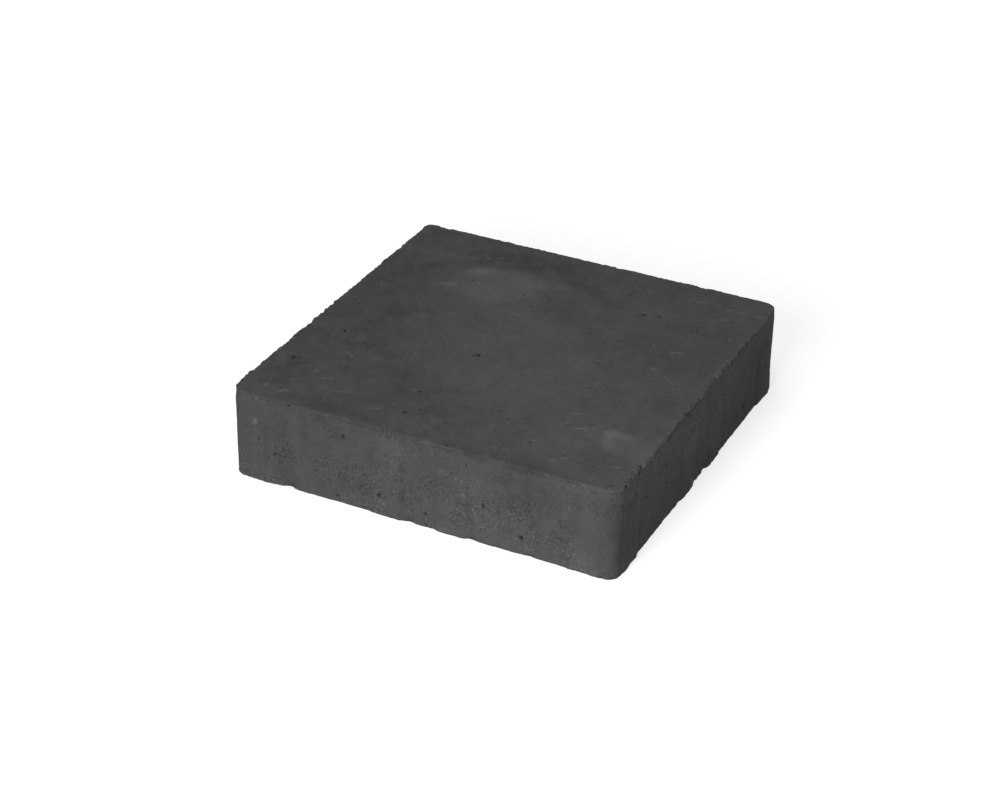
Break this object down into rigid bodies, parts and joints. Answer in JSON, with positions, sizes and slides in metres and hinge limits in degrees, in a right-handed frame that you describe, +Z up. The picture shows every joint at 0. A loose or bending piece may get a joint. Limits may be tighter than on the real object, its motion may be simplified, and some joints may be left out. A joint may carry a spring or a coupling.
{
  "type": "concrete paving stone",
  "caption": "Square dark grey concrete paving stone with rounded upright corners and shallow spacer nibs on its sides, laid on a sand bed to make paths and yards.",
  "frame": {"origin": "centre of the bed face, the face that lies on the sand", "axes": "+Z up through the thickness towards the walked-on face, X and Y square to the sides"},
  "size_m": [0.3, 0.3, 0.07],
  "materials": {
    "concrete": "matte"
  },
  "bodies": {
    "root": {"paving_stone": "concrete"}
  },
  "joints": []
}
